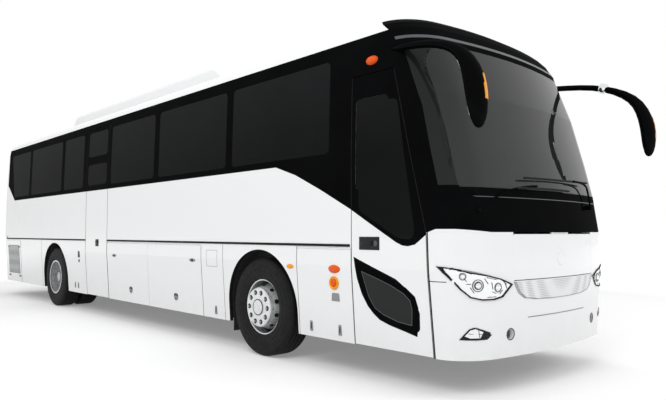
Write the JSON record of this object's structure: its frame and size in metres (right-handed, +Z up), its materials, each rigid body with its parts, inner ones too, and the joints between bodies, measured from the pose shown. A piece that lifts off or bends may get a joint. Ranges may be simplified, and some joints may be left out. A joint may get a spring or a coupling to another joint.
{
  "type": "coach bus",
  "caption": "Single deck coach bus with a passenger door at the front and in the middle, luggage lids, steered front wheels, twin rear wheels and a roof unit.",
  "frame": {"origin": "on the ground below the middle of the whole length, the mirrors included", "axes": "+X forward along the bus, +Y to its left, +Z up"},
  "size_m": [12.4919, 3.134, 3.4699],
  "materials": {
    "white_paint": "smooth white gloss paint",
    "black_paint": "black gloss panel paint",
    "tinted_glass": "dark tinted window glass",
    "clear_glass": "lightly tinted windscreen glass",
    "lamp_lens": "clear lamp lens over bright reflectors",
    "red_lens": "red lamp lens",
    "tyre_rubber": "worn matt black rubber",
    "silver_steel": "silver painted steel wheel",
    "chassis_black": "satin black chassis paint",
    "engine_iron": "dark cast iron",
    "floor_grey": "dull grey floor covering",
    "seat_cloth": "dark woven seat cloth",
    "dark_plastic": "grained black plastic"
  },
  "bodies": {
    "coach_body": {"right_side_wall": "white_paint", "left_side_wall": "white_paint", "right_window_band": "black_paint", "left_window_band": "black_paint", "roof": "white_paint", "front_dome": "black_paint", "windscreen_frame": "black_paint", "windscreen": "clear_glass", "front_bumper": "white_paint", "rear_wall": "white_paint", "body_windows": "tinted_glass", "roof_unit": "white_paint", "front_lamps": "lamp_lens", "tail_lamps": "red_lens", "front_axle": "chassis_black", "rear_axle": "chassis_black", "engine": "engine_iron", "chassis_frame": "chassis_black", "cabin_floor": "floor_grey", "luggage_bay": "chassis_black", "wheel_housings": "chassis_black", "seats": "seat_cloth", "dashboard": "dark_plastic", "mirrors": "dark_plastic", "wipers": "dark_plastic"},
    "knuckle_left": {"knuckle_left": "chassis_black"},
    "knuckle_right": {"knuckle_right": "chassis_black"},
    "tie_rod": {"tie_rod": "chassis_black"},
    "wheel_front_left": {"tyre_front_left": "tyre_rubber", "rim_front_left": "silver_steel"},
    "wheel_front_right": {"tyre_front_right": "tyre_rubber", "rim_front_right": "silver_steel"},
    "wheels_rear_left": {"tyres_rear_left": "tyre_rubber", "rims_rear_left": "silver_steel"},
    "wheels_rear_right": {"tyres_rear_right": "tyre_rubber", "rims_rear_right": "silver_steel"},
    "steering_wheel": {"steering_wheel": "dark_plastic"},
    "front_door_arm": {"front_door_arm": "chassis_black"},
    "front_door": {"front_door_panel": "black_paint", "front_door_glass": "tinted_glass"},
    "mid_door_arm": {"mid_door_arm": "chassis_black"},
    "mid_door": {"mid_door_panel": "white_paint", "mid_door_glass": "tinted_glass"},
    "front_lid": {"front_lid": "white_paint"},
    "engine_lid": {"engine_lid": "white_paint"},
    "luggage_door_left_front": {"luggage_door_left_front": "white_paint"},
    "luggage_door_left_rear": {"luggage_door_left_rear": "white_paint"},
    "luggage_door_right_front": {"luggage_door_right_front": "white_paint"},
    "luggage_door_right_rear": {"luggage_door_right_rear": "white_paint"},
    "rear_service_lid_left": {"rear_service_lid_left": "white_paint"},
    "rear_service_lid_right": {"rear_service_lid_right": "white_paint"},
    "front_service_lid_right": {"front_service_lid_right": "white_paint"}
  },
  "joints": [
    {"name": "steer_left", "type": "hinge", "parent": "coach_body", "child": "knuckle_left", "pos_m": [3.216, 0.98, 0.518], "axis": [0, 0, 1], "range_deg": [-40, 40]},
    {"name": "steer_right", "type": "hinge", "parent": "coach_body", "child": "knuckle_right", "pos_m": [3.216, -0.98, 0.518], "axis": [0, 0, 1], "range_deg": [-40, 40]},
    {"name": "tie_rod_pivot", "type": "hinge", "parent": "knuckle_left", "child": "tie_rod", "pos_m": [3.054, 0.98, 0.618], "axis": [0, 0, 1], "range_deg": [-40, 40]},
    {"name": "wheel_spin_front_left", "type": "hinge", "parent": "knuckle_left", "child": "wheel_front_left", "pos_m": [3.216, 1.0975, 0.518], "axis": [0, 1, 0], "continuous": true},
    {"name": "wheel_spin_front_right", "type": "hinge", "parent": "knuckle_right", "child": "wheel_front_right", "pos_m": [3.216, -1.0975, 0.518], "axis": [0, 1, 0], "continuous": true},
    {"name": "wheel_spin_rear_left", "type": "hinge", "parent": "coach_body", "child": "wheels_rear_left", "pos_m": [-2.984, 0.9275, 0.518], "axis": [0, 1, 0], "continuous": true},
    {"name": "wheel_spin_rear_right", "type": "hinge", "parent": "coach_body", "child": "wheels_rear_right", "pos_m": [-2.984, -0.9275, 0.518], "axis": [0, 1, 0], "continuous": true},
    {"name": "steering_wheel_turn", "type": "hinge", "parent": "coach_body", "child": "steering_wheel", "pos_m": [5.016, 0.62, 1.62], "axis": [-0.4226, 0, 0.9063], "range_deg": [-720, 720]},
    {"name": "front_door_swing", "type": "hinge", "parent": "coach_body", "child": "front_door_arm", "pos_m": [5.31605, -1.145, 0.85], "axis": [0, 0, 1], "range_deg": [0, 130]},
    {"name": "front_door_leaf", "type": "hinge", "parent": "front_door_arm", "child": "front_door", "pos_m": [4.86605, -1.145, 0.85], "axis": [0, 0, 1], "range_deg": [-130, 0]},
    {"name": "mid_door_swing", "type": "hinge", "parent": "coach_body", "child": "mid_door_arm", "pos_m": [-1.3937, -1.145, 0.85], "axis": [0, 0, -1], "range_deg": [0, 130]},
    {"name": "mid_door_leaf", "type": "hinge", "parent": "mid_door_arm", "child": "mid_door", "pos_m": [-0.9437, -1.145, 0.85], "axis": [0, 0, -1], "range_deg": [-130, 0]},
    {"name": "luggage_door_left_front_hinge", "type": "hinge", "parent": "coach_body", "child": "luggage_door_left_front", "pos_m": [1.34, 1.267, 1.16166], "axis": [1, 0, 0], "range_deg": [0, 80]},
    {"name": "luggage_door_left_rear_hinge", "type": "hinge", "parent": "coach_body", "child": "luggage_door_left_rear", "pos_m": [-0.032, 1.267, 1.16166], "axis": [1, 0, 0], "range_deg": [0, 80]},
    {"name": "luggage_door_right_front_hinge", "type": "hinge", "parent": "coach_body", "child": "luggage_door_right_front", "pos_m": [1.34, -1.267, 1.16166], "axis": [-1, 0, 0], "range_deg": [0, 80]},
    {"name": "luggage_door_right_rear_hinge", "type": "hinge", "parent": "coach_body", "child": "luggage_door_right_rear", "pos_m": [-0.032, -1.267, 1.16166], "axis": [-1, 0, 0], "range_deg": [0, 80]},
    {"name": "rear_service_lid_left_hinge", "type": "hinge", "parent": "coach_body", "child": "rear_service_lid_left", "pos_m": [-5.378, 1.267, 1.16166], "axis": [1, 0, 0], "range_deg": [0, 80]},
    {"name": "rear_service_lid_right_hinge", "type": "hinge", "parent": "coach_body", "child": "rear_service_lid_right", "pos_m": [-5.378, -1.267, 1.16166], "axis": [-1, 0, 0], "range_deg": [0, 80]},
    {"name": "front_service_lid_right_hinge", "type": "hinge", "parent": "coach_body", "child": "front_service_lid_right", "pos_m": [4.231, -1.267, 1.16166], "axis": [-1, 0, 0], "range_deg": [0, 80]},
    {"name": "front_lid_hinge", "type": "hinge", "parent": "coach_body", "child": "front_lid", "pos_m": [5.93656, 0, 1.30166], "axis": [0, -1, 0], "range_deg": [0, 70]},
    {"name": "engine_lid_hinge", "type": "hinge", "parent": "coach_body", "child": "engine_lid", "pos_m": [-6.22602, 0, 1.71179], "axis": [0, 1, 0], "range_deg": [0, 70]}
  ],
  "couplings": [
    {"joint": "steer_right", "follows": "steer_left", "ratio": 1},
    {"joint": "tie_rod_pivot", "follows": "steer_left", "ratio": -1},
    {"joint": "steering_wheel_turn", "follows": "steer_left", "ratio": 18},
    {"joint": "front_door_leaf", "follows": "front_door_swing", "ratio": -1},
    {"joint": "mid_door_leaf", "follows": "mid_door_swing", "ratio": -1}
  ]
}
